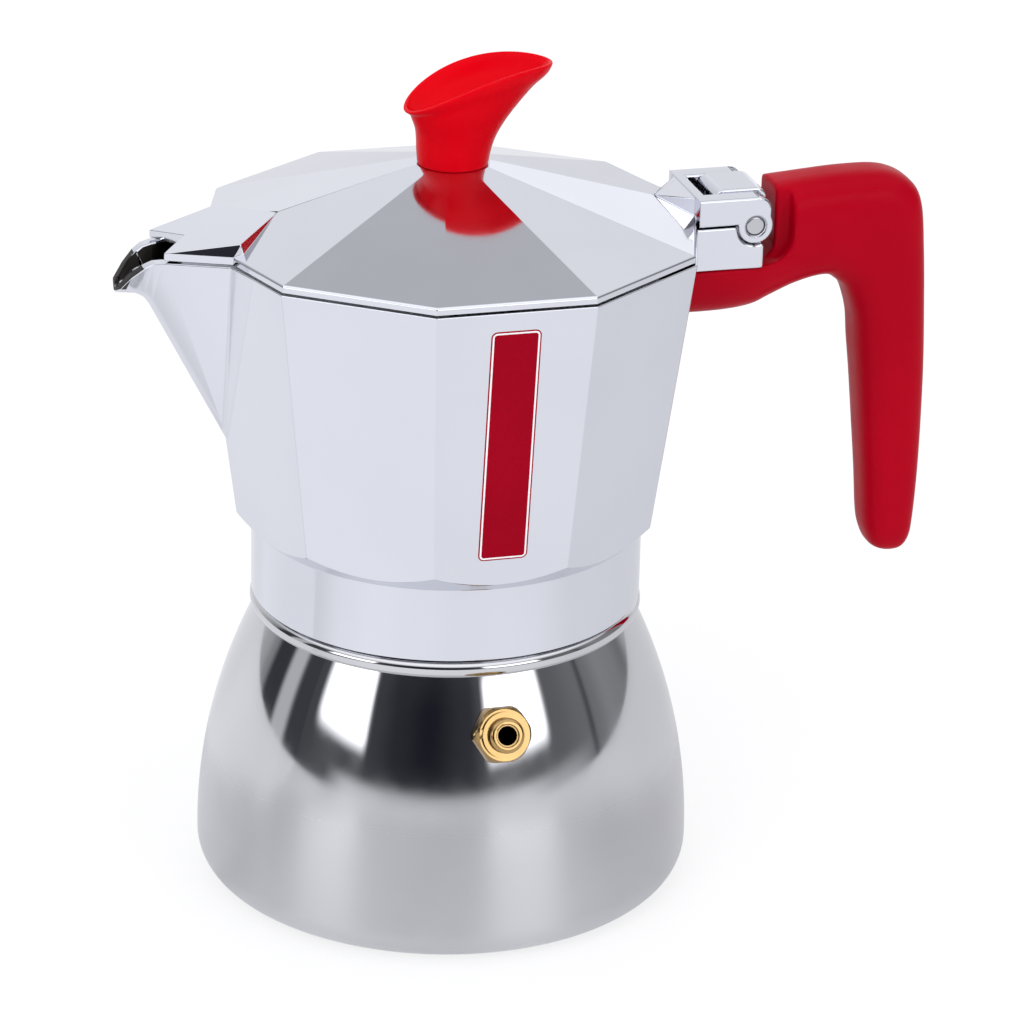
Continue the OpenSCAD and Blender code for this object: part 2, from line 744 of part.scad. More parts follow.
module handle_screw() color(steel) {
    translate([screw_x, 0, arm_z + head_pocket - screw_head_h])
        difference() {
            cylinder(h = screw_head_h - seat_gap, r = screw_head_r);
            translate([0, 0, 0.6])
                cube([1.0, 2 * screw_head_r - 1.6, 2], center = true);
        }
    translate([screw_x, 0, arm_z + head_pocket - eps])
        cylinder(h = arm_t - head_pocket + screw_thread_h - 0.3 + eps, r = screw_r);
}

module hinge_pin() color(steel)
    translate([pin_x, 0, pin_z])
        rotate([90, 0, 0])
            cylinder(h = hinge_w - 0.6, r = pin_r, center = true);

// ---------------------------------------------------------------- lid

lid_in_r = lid_r - 3;
tongue_reach = body_r_top + tongue_out;
tongue_w = tip_half_w + 3.1;
// The tongue leaves the lid's edge just inside the spout's corners
tongue_root_w = spout_half_w - 0.3;
tongue_root_x = lid_r - tongue_root_w * side_lean;
tongue_back = tongue_root_x - 1.4;
tongue_slope = tongue_rise / (tongue_reach - tongue_back);
tongue_top_w = spout_half_w - 0.6;
tip_bevel = 1.3;

// Raised wedge over the spout, flat on top, its sides sloping down to the edge band
module tongue() {
    top_z = lid_edge_z + tongue_rise;
    apex_x = (tongue_slope * tongue_reach - lid_slope * (lid_r - lid_bevel)) / (tongue_slope - lid_slope);
    points = [
        [-apex_x, 0, lid_edge_z + tongue_slope * (tongue_reach - apex_x)],
        [-tongue_back, -tongue_top_w, top_z],
        [-tongue_back, tongue_top_w, top_z],
        [tip_bevel - tongue_reach, -tongue_w, lid_edge_z + tongue_slope * tip_bevel],
        [tip_bevel - tongue_reach, tongue_w, lid_edge_z + tongue_slope * tip_bevel],
        [-tongue_root_x, -tongue_root_w, lid_edge_z],
        [-tongue_root_x, tongue_root_w, lid_edge_z],
        [2 - tongue_root_x, -tongue_root_w, lid_edge_z],
        [2 - tongue_root_x, tongue_root_w, lid_edge_z],
        [-tongue_reach, -tongue_w, lid_edge_z],
        [-tongue_reach, tongue_w, lid_edge_z]
    ];
    polyhedron(points, [
        [0, 1, 3, 4, 2], [1, 5, 9], [1, 9, 3], [1, 7, 5], [0, 7, 1],
        [2, 10, 6], [2, 4, 10], [2, 6, 8], [0, 2, 8], [0, 8, 7],
        [3, 9, 10, 4], [9, 5, 7, 8, 6, 10]
    ]);
    translate([0, 0, lid_z])
        linear_extrude(height = lid_band_h)
            polygon([
                [4 - tongue_root_x, -tongue_root_w],
                [-tongue_root_x, -tongue_root_w],
                [-tongue_reach, -tongue_w],
                [-tongue_reach, tongue_w],
                [-tongue_root_x, tongue_root_w],
                [4 - tongue_root_x, tongue_root_w]
            ]);
}

// Flat wedge from the lid's corner to the fork, and the two ears of the fork
module tail() {
    apex_x = fork_x - 5.9;
    apex_z = lid_edge_z + (lid_r - lid_bevel - apex_x) * lid_slope;
    // The wedge rises a little from its apex on the lid to the hinge
    hull() {
        translate([apex_x, 0, lid_z])
            cylinder(h = apex_z - lid_z, r = 0.05, $fn = 6);
        translate([fork_x, -tail_w / 2, lid_z])
            cube([0.1, tail_w, hinge_top_z - 0.4 - lid_z]);
        translate([window_x, -tail_w / 2, lid_z])
            cube([0.1, tail_w, hinge_top_z - lid_z]);
    }
    side_extrude(hinge_w) {
        translate([fork_x, lid_z])
            square([pin_x + ear_back - ear_round - fork_x, hinge_top_z - lid_z]);
        translate([pin_x - 1, pin_z])
            square([ear_back + 1, hinge_top - ear_round]);
        translate([pin_x + ear_back - ear_round, hinge_top_z - ear_round])
            circle(r = ear_round);
        translate([pin_x, pin_z])
            circle(r = ear_r);
    }
}

module lid() color(alloy) difference() {
    union() {
        translate([0, 0, lid_z])
            cylinder(h = lid_band_h - lid_bevel, r = lid_r, $fn = sides);
        translate([0, 0, lid_edge_z - lid_bevel])
            cylinder(h = lid_bevel, r1 = lid_r, r2 = lid_r - lid_bevel, $fn = sides);
        translate([0, 0, lid_edge_z])
            cylinder(h = lid_rise, r1 = lid_r - lid_bevel, r2 = knob_seat_r, $fn = sides);
        tongue();
        tail();
    }
    // Hollow underside
    translate([0, 0, lid_z - 1])
        cylinder(h = 1 + lid_band_h - lid_wall + 0.3, r = lid_in_r, $fn = sides);
    translate([0, 0, lid_edge_z - lid_wall + (lid_r - lid_bevel - lid_in_r) * lid_slope])
        cylinder(h = lid_rise - (lid_r - lid_bevel - lid_in_r) * lid_slope, r1 = lid_in_r, r2 = knob_seat_r,
            $fn = sides);
    // Window for the bracket's knuckle
    translate([window_x, -knuckle_w / 2 - run_gap, lid_z - 5])
        cube([30, knuckle_w + 2 * run_gap, 20]);
    // Notch in the tongue's front edge
    translate([0, 0, lid_z - 1])
        linear_extrude(height = 10)
            polygon([
                [-tongue_reach + tongue_notch, 0],
                [-tongue_reach - tongue_notch, 2 * tongue_w],
                [-tongue_reach - tongue_notch, -2 * tongue_w]
            ]);
    translate([pin_x, 0, pin_z])
        rotate([90, 0, 0])
            cylinder(h = hinge_w + 2, r = pin_r + pin_gap, center = true);
    translate([0, 0, knob_seat_z - 10])
        cylinder(h = 20, r = knob_screw_r + 0.15);
}

// ---------------------------------------------------------------- knob

knob_screw_r = 1.95;
knob_z = knob_seat_z + seat_gap;
knob_bore_h = knob_low_h - 3.1;

// Ring of the knob: centre x, half length, half width, height above the foot at the centre,
// end-to-end tilt, side bulge, and how much the ring narrows towards the tip
function knob_ring(cx, a, b, h, tilt, bulge, egg = 0, n = 40) =
    [for (k = [0:n - 1])
        let (t = 360 * k / n)
        [cx + a * cos(t), b * sin(t) * (1 - egg * cos(t)),
            knob_z + h + tilt * cos(t) + bulge * sin(t) * sin(t)]];

module knob() color(knob_red) difference() {
    rim_a = (knob_tip + knob_back) / 2;
    rim_b = knob_half_w;
    rim_x = (knob_tip - knob_back) / 2;
    rim_h = (knob_tip_h + knob_low_h) / 2;
    rim_tilt = (knob_tip_h - knob_low_h) / 2;
    rim_bulge = 2.6;
    loft([
        knob_ring(0, knob_foot_r - 0.3, knob_foot_r - 0.3, 0, 0, 0),
        knob_ring(0, knob_foot_r, knob_foot_r, 0.3, 0, 0),
        knob_ring(0.1, knob_foot_r + 0.3, knob_foot_r + 0.2, 2.4, 0, 0),
        knob_ring(0.5, knob_foot_r + 0.8, knob_foot_r + 0.4, 4.9, 0.2, 0),
        knob_ring(1.2, knob_foot_r + 1.7, knob_foot_r + 0.7, 7.1, 0.7, 0.2, 0.04),
        knob_ring(2.1, knob_foot_r + 3.1, knob_foot_r + 1.1, 9.3, 1.4, 0.7, 0.08),
        knob_ring(3.3, knob_foot_r + 4.9, rim_b - 0.5, 11.6, 2.3, 1.4, 0.12),
        knob_ring(rim_x - 0.2, rim_a - 0.7, rim_b - 0.1, rim_h - 1.0, rim_tilt - 0.6, rim_bulge - 0.5, 0.15),
        knob_ring(rim_x, rim_a, rim_b, rim_h, rim_tilt, rim_bulge, 0.16),
        knob_ring(rim_x, rim_a - 0.5, rim_b - 0.5, rim_h + 0.35, rim_tilt, rim_bulge, 0.16),
        knob_ring(rim_x, rim_a - 1.2, rim_b - 1.1, rim_h - 0.2, rim_tilt, rim_bulge - 0.2, 0.16),
        knob_ring(rim_x - 0.2, rim_a - 3.2, rim_b - 2.4, rim_h - 1.9, rim_tilt - 0.7, rim_bulge - 1.2, 0.12),
        knob_ring(rim_x - 0.7, rim_a - 6.6, rim_b - 4.5, rim_h - 3.4, rim_tilt - 1.9, 0.5, 0.06),
        knob_ring(rim_x - 1.1, 1.4, 1.0, rim_h - 4.2, 0.15, 0)
    ]);
    translate([0, 0, knob_z - eps])
        cylinder(h = knob_bore_h + eps, r = knob_screw_r + seat_gap);
}

module knob_washer() color(steel)
    translate([0, 0, knob_seat_z - lid_wall - sheet_t - seat_gap])
        difference() {
            cylinder(h = sheet_t, r = knob_seat_r - 1.4);
            translate([0, 0, -eps])
                cylinder(h = sheet_t + 2 * eps, r = knob_screw_r + 0.15);
        }

module knob_screw() color(steel) {
    head_z = knob_seat_z - lid_wall - sheet_t - 2 * seat_gap;
    difference() {
        translate([0, 0, head_z - 2.2])
            cylinder(h = 2.2, r = 3.6);
        translate([0, 0, head_z - 2.2])
            cube([1.0, 5.6, 2], center = true);
    }
    translate([0, 0, head_z - eps])
        cylinder(h = knob_z + knob_bore_h - 0.5 - head_z + eps, r = knob_screw_r);
}

boiler();
valve_body();
valve_cap();
valve_washer();
valve_nut();
valve_ball();
valve_spring();
funnel();
funnel_screen();
gasket();
filter_plate();
upper_chamber();
brew_column();
handle();
handle_screw();
hinge_pin();
lid();
knob();
knob_screw();
knob_washer();
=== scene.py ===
"""Looks of a stove-top moka pot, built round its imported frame. Lengths are in metres."""
import json
import math
from contextlib import contextmanager

import bmesh
import bpy
from mathutils import Matrix, Vector


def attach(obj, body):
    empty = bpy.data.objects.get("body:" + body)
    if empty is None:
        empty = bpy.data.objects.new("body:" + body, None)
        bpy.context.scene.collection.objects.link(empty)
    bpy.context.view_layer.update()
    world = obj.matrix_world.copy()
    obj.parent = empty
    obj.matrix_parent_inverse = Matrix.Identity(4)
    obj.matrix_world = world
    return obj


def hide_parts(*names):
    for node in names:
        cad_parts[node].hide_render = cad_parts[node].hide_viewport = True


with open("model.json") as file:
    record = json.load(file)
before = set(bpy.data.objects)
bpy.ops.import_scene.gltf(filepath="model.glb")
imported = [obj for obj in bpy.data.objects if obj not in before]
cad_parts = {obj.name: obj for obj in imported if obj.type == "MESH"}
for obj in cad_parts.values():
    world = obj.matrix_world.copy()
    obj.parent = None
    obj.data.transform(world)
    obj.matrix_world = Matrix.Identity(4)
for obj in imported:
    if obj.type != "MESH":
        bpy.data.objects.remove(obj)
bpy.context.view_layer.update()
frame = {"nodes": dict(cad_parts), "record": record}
nodes = frame["nodes"]
scene = bpy.context.scene
MM = 0.001

# Driving sizes, in millimetres, the same as the part's
BELLY_R = 46.14
BELLY_Z = 6.7
BASE_ROUND = 6.5
BOILER_WALL = 1.0
SHOULDER_Z = 53.4
SHOULDER_STEP = 1.2
BEAD_R = 35.8
BEAD_Z = 52.55
BEAD_H = 3.3
NECK_R = 33.4
NECK_WALL = 1.7
NECK_TOP_Z = 65.15
SIDES = 10
BODY_Z = 70.0
BODY_H = 55.05
BODY_R_LOW = 39.12
BODY_R_TOP = 46.6
FLOOR_Z = 73.2
RIM_Z = BODY_Z + BODY_H
PIN_X = 54.6
BRACKET_Z = 116.88
ARM_Z = 107.18
HANDLE_TOP_Z = 132.28
HANDLE_END_Z = 55.2
HANDLE_REACH = 91.5
KNOB_Z = 137.92
LID_Z = 125.35
VALVE_Z = 43.0
HEX_R = 5.67
HEX_H = 3.2

VALVE_HOLE_R = 4.1
VALVE_BORE_REACH = 2.4
SCREW_X = PIN_X - 4

# The boiler's side is one arc from its widest ring, where it stands upright, to the shoulder
SIDE_DEPTH = BELLY_R - NECK_R - SHOULDER_STEP
SIDE_RISE = SHOULDER_Z - BELLY_Z
SIDE_R = (SIDE_DEPTH**2 + SIDE_RISE**2) / (2 * SIDE_DEPTH)


# ---------------------------------------------------------------- camera and stage


def make_camera():
    """The camera stands where the pot's faces line up with the reference view."""
    azimuth, elevation, roll = (math.radians(a) for a in (-16.17, 22.59, 1.373))
    distance, aim_right, aim_up = 0.8346, 0.0121, 0.07041
    back = Vector((
        math.sin(azimuth) * math.cos(elevation),
        -math.cos(azimuth) * math.cos(elevation),
        math.sin(elevation),
    ))
    right = Vector((math.cos(azimuth), math.sin(azimuth), 0))
    up = back.cross(right)
    aim = right * aim_right + Vector((0, 0, aim_up))
    rolled_right = right * math.cos(roll) + up * math.sin(roll)
    rolled_up = up * math.cos(roll) - right * math.sin(roll)
    data = bpy.data.cameras.new("camera")
    data.lens = 159.02
    data.sensor_width = 36.0
    camera = bpy.data.objects.new("camera", data)
    turn = Matrix((rolled_right, rolled_up, back)).transposed().to_4x4()
    camera.matrix_world = Matrix.Translation(aim + back * distance) @ turn
    scene.collection.objects.link(camera)
    scene.camera = camera


class Nodes:
    """Short names for building a node tree."""

    def __init__(self, tree):
        self.tree = tree
        tree.nodes.clear()

    def add(self, kind, **settings):
        node = self.tree.nodes.new(kind)
        for key, value in settings.items():
            setattr(node, key, value)
        return node

    def link(self, output, socket):
        self.tree.links.new(output, socket)

    def math(self, operation, first, second=None, clamp=False):
        node = self.add("ShaderNodeMath", operation=operation, use_clamp=clamp)
        for socket, value in zip(node.inputs, (first, second)):
            if value is None:
                continue
            if isinstance(value, (int, float)):
                socket.default_value = value
            else:
                self.link(value, socket)
        return node.outputs[0]

    def ramp(self, factor, stops, ease="EASE"):
        """A grey or colour ramp; stops are (position, grey or colour)."""
        node = self.add("ShaderNodeValToRGB")
        ramp = node.color_ramp
        ramp.interpolation = ease
        while len(ramp.elements) > 1:
            ramp.elements.remove(ramp.elements[-1])
        for i, (place, value) in enumerate(stops):
            element = ramp.elements[0] if i == 0 else ramp.elements.new(place)
            element.position = place
            colour = value if hasattr(value, "__len__") else (value, value, value)
            element.color = (*colour[:3], 1)
        self.link(factor, node.inputs[0])
        return node.outputs[0]

    def noise(self, scale, detail=3.0, roughness=0.5, stretch=(1, 1, 1)):
        """Noise in the part's own space; scale is in features per metre."""
        place = self.add("ShaderNodeTexCoord").outputs["Object"]
        if stretch != (1, 1, 1):
            mapping = self.add("ShaderNodeMapping")
            mapping.inputs["Scale"].default_value = stretch
            self.link(place, mapping.inputs["Vector"])
            place = mapping.outputs[0]
        node = self.add("ShaderNodeTexNoise")
        node.inputs["Scale"].default_value = scale
        node.inputs["Detail"].default_value = detail
        node.inputs["Roughness"].default_value = roughness
        self.link(place, node.inputs["Vector"])
        return node.outputs["Fac"]

    def range(self, value, low, high, new_low, new_high):
        node = self.add("ShaderNodeMapRange")
        for socket, number in zip(node.inputs[1:5], (low, high, new_low, new_high)):
            socket.default_value = number
        self.link(value, node.inputs[0])
        return node.outputs[0]

    def bump(self, height, distance, strength=1.0):
        node = self.add("ShaderNodeBump")
        node.inputs["Strength"].default_value = strength
        node.inputs["Distance"].default_value = distance
        self.link(height, node.inputs["Height"])
        return node.outputs[0]


def compass(n, x, y):
    """Direction round the pot as a share of a turn, 0 at -180 degrees."""
    return n.range(n.math("ARCTAN2", y, x), -math.pi, math.pi, 0, 1)


def turn_stops(*stops):
    """Ramp stops given in degrees round the pot, from -180 to 180."""
    return [((degrees + 180) / 360, value) for degrees, value in stops]


def make_world():
    """A soft studio: a dark band in front with two soft boxes, a pale room behind, white to the camera."""
    world = bpy.data.worlds.new("studio")
    scene.world = world
    world.use_nodes = True
    n = Nodes(world.node_tree)
    split = n.add("ShaderNodeSeparateXYZ")
    n.link(n.add("ShaderNodeTexCoord").outputs["Generated"], split.inputs[0])
    turn = compass(n, split.outputs["X"], split.outputs["Y"])
    rise = n.math("DIVIDE", n.math("ARCSINE", split.outputs["Z"]), math.pi / 2)

    def up(*stops):
        """A ramp over the height above the horizon, stops in degrees."""
        return n.ramp(rise, [(degrees / 90, value) for degrees, value in stops])

    wall = n.ramp(turn, turn_stops(
        (-180, 0.08), (-160, 0.09), (-142, 0.06), (-128, 0.03), (-112, 0.015), (-92, 0.04), (-80, 0.12),
        (-60, 0.14), (-44, 0.15), (-26, 0.20), (-23, 0.09), (-20, 0.22), (-8, 0.30), (2, 0.28), (12, 0.22),
        (22, 0.5), (36, 0.95), (56, 1.12), (63, 1.12), (68, 0.9), (75, 0.9), (84, 0.97), (104, 0.85),
        (118, 0.76), (136, 0.46), (143, 0.3), (148, 0.05), (157, 0.05), (161, 0.6), (167, 0.6), (171, 0.06)))
    sweep = n.ramp(turn, turn_stops((-165, 0), (-150, 0.8), (-70, 0.8), (-45, 0.35), (-20, 0)))
    sweep = n.math("MULTIPLY", sweep, up((1.5, 1), (5, 0)))
    boxes = n.ramp(turn, turn_stops(
        (-176, 0), (-170, 1), (-147, 1), (-143, 0), (-84, 0), (-80, 1), (-52, 1), (-47, 0)))
    glow = n.math("MULTIPLY", n.math("MULTIPLY", boxes, up((8, 0), (13, 1), (27, 1), (30, 0))), 2.6)
    behind = n.ramp(turn, turn_stops((0, 0), (35, 1), (112, 1), (140, 0)))
    low = n.math("ADD", n.math("ADD", wall, glow), sweep)
    front_top = up((30, 0), (34, 0.72), (48, 1.3), (90, 1.3))
    back_top = up((30, 0), (34, 0.92), (42, 0.92), (48, 0.57), (62, 0.56), (90, 1.0))
    tops = n.add("ShaderNodeMix", data_type="FLOAT")
    for socket, value in zip(("Factor", "A", "B"), (behind, front_top, back_top)):
        n.link(value, tops.inputs[socket])
    keep = up((30, 1), (34, 0))
    light = n.math("ADD", n.math("MULTIPLY", low, keep), tops.outputs["Result"])
    room = n.add("ShaderNodeBackground")
    colour = n.add("ShaderNodeCombineColor")
    for socket, share, least in zip(colour.inputs, (0.985, 0.99, 1.02), (0, 0.001, 0.008)):
        n.link(n.math("ADD", n.math("MULTIPLY", light, share), least), socket)
    n.link(colour.outputs[0], room.inputs["Color"])
    white = n.add("ShaderNodeBackground")
    both = n.add("ShaderNodeMixShader")
    white.inputs["Color"].default_value = (1, 1, 1, 1)
    n.link(n.add("ShaderNodeLightPath").outputs["Is Camera Ray"], both.inputs[0])
    n.link(room.outputs[0], both.inputs[1])
    n.link(white.outputs[0], both.inputs[2])
    n.link(both.outputs[0], n.add("ShaderNodeOutputWorld").inputs[0])


def make_floor():
    """A plain pale floor that keeps the pot's soft shadow. To glossy rays it glows with painted light, brighter
    round the pot towards the soft boxes and with a faint blue tint, so the metal mirrors painted pools of light.
    """
    mesh = bpy.data.meshes.new("floor")
    half = 6.0
    level = -0.05 * MM
    mesh.from_pydata(
        [(-half, -half, level), (half, -half, level), (half, half, level), (-half, half, level)], [], [(0, 1, 2, 3)]
    )
    floor = bpy.data.objects.new("floor", mesh)
    scene.collection.objects.link(floor)
    material = bpy.data.materials.new("floor")
    material.use_nodes = True
    n = Nodes(material.node_tree)
    diffuse = n.add("ShaderNodeBsdfDiffuse")
    diffuse.inputs["Color"].default_value = (0.9, 0.9, 0.92, 1)
    split = n.add("ShaderNodeSeparateXYZ")
    n.link(n.add("ShaderNodeTexCoord").outputs["Object"], split.inputs[0])
    # Painted light: the floor's glow as the metal mirrors it, set round the pot in pools towards the soft boxes
    painted_sheen = n.ramp(compass(n, split.outputs["X"], split.outputs["Y"]), turn_stops(
        (-180, 0.73), (-160, 0.95), (-145, 1.0), (-115, 0.96), (-98, 0.92), (-75, 0.94), (-60, 0.92), (-30, 0.76),
        (10, 0.72), (40, 0.68), (64, 0.76), (77, 0.77), (82, 0.82), (118, 0.82), (135, 0.94), (160, 0.88)))
    path = n.add("ShaderNodeLightPath")
    seen = n.math("MAXIMUM", path.outputs["Is Camera Ray"], path.outputs["Is Glossy Ray"])
    seen = n.math("MAXIMUM", seen, path.outputs["Is Transmission Ray"])
    glow = n.add("ShaderNodeEmission")
    mirrored = n.add("ShaderNodeMix", data_type="FLOAT")
    n.link(path.outputs["Is Glossy Ray"], mirrored.inputs["Factor"])
    mirrored.inputs["A"].default_value = 1.03
    n.link(painted_sheen, mirrored.inputs["B"])
    n.link(mirrored.outputs["Result"], glow.inputs["Strength"])
    # On a colour mix, sockets 6 and 7 are A and B, and output 2 is the colour
    # Painted reflection: a faint blue tint on the glow that the metal mirrors
    tint = n.add("ShaderNodeMix", data_type="RGBA")
    n.link(path.outputs["Is Glossy Ray"], tint.inputs["Factor"])
    tint.inputs[6].default_value = (1, 1, 1, 1)
    tint.inputs[7].default_value = (0.985, 0.995, 1.03, 1)
    n.link(tint.outputs[2], glow.inputs["Color"])
    mix = n.add("ShaderNodeMixShader")
    n.link(n.math("MULTIPLY", seen, 0.72), mix.inputs[0])
    n.link(diffuse.outputs[0], mix.inputs[1])
    n.link(glow.outputs[0], mix.inputs[2])
    n.link(mix.outputs[0], n.add("ShaderNodeOutputMaterial").inputs[0])
    mesh.materials.append(material)


def make_lamp(name, place, aim, size, power, glossy):
    """A square soft lamp; glossy says whether metal mirrors it."""
    data = bpy.data.lights.new(name, "AREA")
    data.shape = "SQUARE"
    data.size = size
    data.energy = power
    lamp = bpy.data.objects.new(name, data)
    lamp.location = place
    lamp.rotation_euler = (Vector(aim) - Vector(place)).to_track_quat("-Z", "Y").to_euler()
    lamp.visible_glossy = glossy
    scene.collection.objects.link(lamp)


# ---------------------------------------------------------------- materials


def principled(name):
    """A new material with a Principled shader; gives the material, its tree and the shader."""
    material = bpy.data.materials.new(name)
    material.use_nodes = True
    n = Nodes(material.node_tree)
    shader = n.add("ShaderNodeBsdfPrincipled")
    n.link(shader.outputs[0], n.add("ShaderNodeOutputMaterial").inputs[0])
    return material, n, shader


def metal(name, colour, rough, spread, grain_scale, grain, stretch=(1, 1, 1), peel=0.0, tint=0.012):
    """Metal with mottled gloss, a fine grain and a faint waviness."""
    material, n, shader = principled(name)
    shader.inputs["Metallic"].default_value = 1.0
    cloud = n.noise(35, 3)
    pale = tuple(min(1.0, c * (1 + tint)) for c in colour)
    dark = tuple(c * (1 - tint) for c in colour)
    n.link(n.ramp(cloud, [(0.35, dark), (0.65, pale)]), shader.inputs["Base Color"])
    n.link(n.range(n.noise(140, 5), 0.3, 0.7, rough - spread, rough + spread), shader.inputs["Roughness"])
    fine = n.noise(grain_scale, 2, stretch=stretch)
    if peel:
        wave = n.noise(90, 1)
        fine = n.math("ADD", fine, n.math("MULTIPLY", wave, peel))
    n.link(n.bump(fine, grain), shader.inputs["Normal"])
    return material


def plastic(name, colour, rough, spread, grain, shine=0.06):
    """Moulded plastic with a fine spark-eroded grain and slightly uneven gloss."""
    material, n, shader = principled(name)
    dark = tuple(c * 0.9 for c in colour)
    n.link(n.ramp(n.noise(45, 3), [(0.35, dark), (0.7, colour)]), shader.inputs["Base Color"])
    n.link(n.range(n.noise(220, 4), 0.3, 0.7, rough - spread, rough + spread), shader.inputs["Roughness"])
    n.link(n.bump(n.noise(2600, 2), grain), shader.inputs["Normal"])
    shader.inputs["IOR"].default_value = 1.5
    shader.inputs["Specular IOR Level"].default_value = shine
    return material


def boiler_steel():
    """Steel, mirror-bright at the shoulder and finely brushed round towards the base."""
    material, n, shader = principled("boiler_steel")
    shader.inputs["Metallic"].default_value = 1.0
    place = n.add("ShaderNodeTexCoord").outputs["Object"]
    split = n.add("ShaderNodeSeparateXYZ")
    n.link(place, split.inputs[0])
    # 0 on the mirror-bright shoulder, 1 on the satin part, half-way at 27 mm
    above = n.math("EXPONENT", n.math("DIVIDE", n.math("SUBTRACT", split.outputs["Z"], 27 * MM), 2.4 * MM))
    low = n.math("DIVIDE", 1, n.math("ADD", above, 1))
    cloud = n.noise(40, 3)
    n.link(n.ramp(cloud, [(0.35, (0.635, 0.635, 0.65)), (0.65, (0.655, 0.655, 0.67))]), shader.inputs["Base Color"])
    gloss = n.range(n.noise(160, 5), 0.3, 0.7, 0.035, 0.07)
    n.link(n.math("ADD", gloss, n.math("MULTIPLY", low, 0.34)), shader.inputs["Roughness"])
    n.link(n.add("ShaderNodeTangent", direction_type="RADIAL", axis="Z").outputs[0], shader.inputs["Tangent"])
    shader.inputs["Anisotropic"].default_value = 0.9
    shader.inputs["Anisotropic Rotation"].default_value = 0.25
    lines = n.noise(900, 2, stretch=(0.12, 0.12, 3.0))
    n.link(n.bump(n.math("MULTIPLY", lines, low), 0.004 * MM), shader.inputs["Normal"])
    return material


MATERIALS = {
    "boiler_steel": boiler_steel(),
    "cast_aluminium": metal("cast_aluminium", (0.72, 0.73, 0.78), 0.085, 0.02, 1500, 0.0012 * MM, peel=2.0),
    "cast_inside": metal("cast_inside", (0.60, 0.61, 0.64), 0.42, 0.06, 2200, 0.03 * MM),
    # Painted shade: a near-black cast finish for the spout's channel, which lies in shadow
    "cast_painted_shade": metal("cast_painted_shade", (0.022, 0.02, 0.018), 0.4, 0.06, 2200, 0.01 * MM),
    "sheet_aluminium": metal("sheet_aluminium", (0.68, 0.68, 0.71), 0.28, 0.05, 1800, 0.006 * MM),
    "valve_brass": metal("valve_brass", (0.44, 0.29, 0.12), 0.17, 0.04, 2400, 0.003 * MM, tint=0.08),
    # Painted shade: a dark brass finish for the inside of the valve's bore
    "brass_painted_shade": metal("brass_painted_shade", (0.10, 0.045, 0.012), 0.35, 0.04, 2400, 0.003 * MM, tint=0.08),
    # Painted shade: a dark steel finish for the valve's ball and spring, which lie in shade down the bore
    "steel_painted_shade": metal("steel_painted_shade", (0.10, 0.07, 0.045), 0.3, 0.05, 2000, 0.003 * MM),
    "fastener_steel": metal("fastener_steel", (0.56, 0.56, 0.58), 0.2, 0.05, 2000, 0.004 * MM),
    "handle_red": plastic("handle_red", (0.43, 0.0, 0.011), 0.32, 0.04, 0.003 * MM, 0.045),
    "knob_red": plastic("knob_red", (0.77, 0.0, 0.007), 0.26, 0.04, 0.003 * MM, 0.05),
    "seal": plastic("seal", (0.80, 0.79, 0.73), 0.6, 0.08, 0.02 * MM),
    "label_red": plastic("label_red", (0.335, 0.0, 0.011), 0.28, 0.03, 0.002 * MM, 0.04),
    "label_line": plastic("label_line", (0.95, 0.93, 0.93), 0.3, 0.03, 0.002 * MM),
}


def dress(thing, *names):
    """Puts materials on an object's slots, in order."""
    while len(thing.material_slots) < len(names):
        thing.data.materials.append(None)
    for i, slot in enumerate(thing.material_slots):
        slot.material = MATERIALS[names[i] if i < len(names) else names[0]]


# ---------------------------------------------------------------- mesh helpers


@contextmanager
def edited(mesh):
    """Opens a mesh for editing and writes it back."""
    form = bmesh.new()
    form.from_mesh(mesh)
    yield form
    form.to_mesh(mesh)
    form.free()


def add_piece(name, mesh, body, node, slot, *materials):
    """Links a mesh as a piece on a body that stands for a CAD node."""
    piece = bpy.data.objects.new(name, mesh)
    scene.collection.objects.link(piece)
    for material in materials or (slot,):
        mesh.materials.append(MATERIALS[material])
    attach(piece, body)
    if node:
        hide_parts(node)
    return piece


def apply_modifiers(piece):
    """Bakes a piece's modifiers into its mesh."""
    graph = bpy.context.evaluated_depsgraph_get()
    mesh = bpy.data.meshes.new_from_object(piece.evaluated_get(graph))
    piece.modifiers.clear()
    piece.data = mesh


def cad_copy(node):
    """A clean copy of a CAD node's mesh: points merged and flat faces joined.
    Joining a flat ring would close its hole, so rings stay cut in two, at the
    plane of symmetry and through the hinge pin."""
    mesh = nodes[node].data.copy()
    mesh.materials.clear()
    with edited(mesh) as form:
        bmesh.ops.remove_doubles(form, verts=form.verts, dist=0.002 * MM)
        kept = set()
        for spot, side in (((0, 0, 0), (0, 1, 0)), ((PIN_X * MM, 0, 0), (1, 0, 0))):
            everything = form.verts[:] + form.edges[:] + form.faces[:]
            cut = bmesh.ops.bisect_plane(form, geom=everything, dist=1e-7, plane_co=spot, plane_no=side)
            kept.update(item for item in cut["geom_cut"] if isinstance(item, bmesh.types.BMEdge))
        flat = [edge for edge in form.edges if edge not in kept]
        bmesh.ops.dissolve_limit(form, angle_limit=math.radians(0.6), verts=form.verts, edges=flat)
    return mesh


def smooth_by_angle(mesh, degrees=30):
    """Shades a mesh smooth, apart from edges sharper than an angle."""
    mesh.shade_smooth()
    mesh.set_sharp_from_angle(angle=math.radians(degrees))


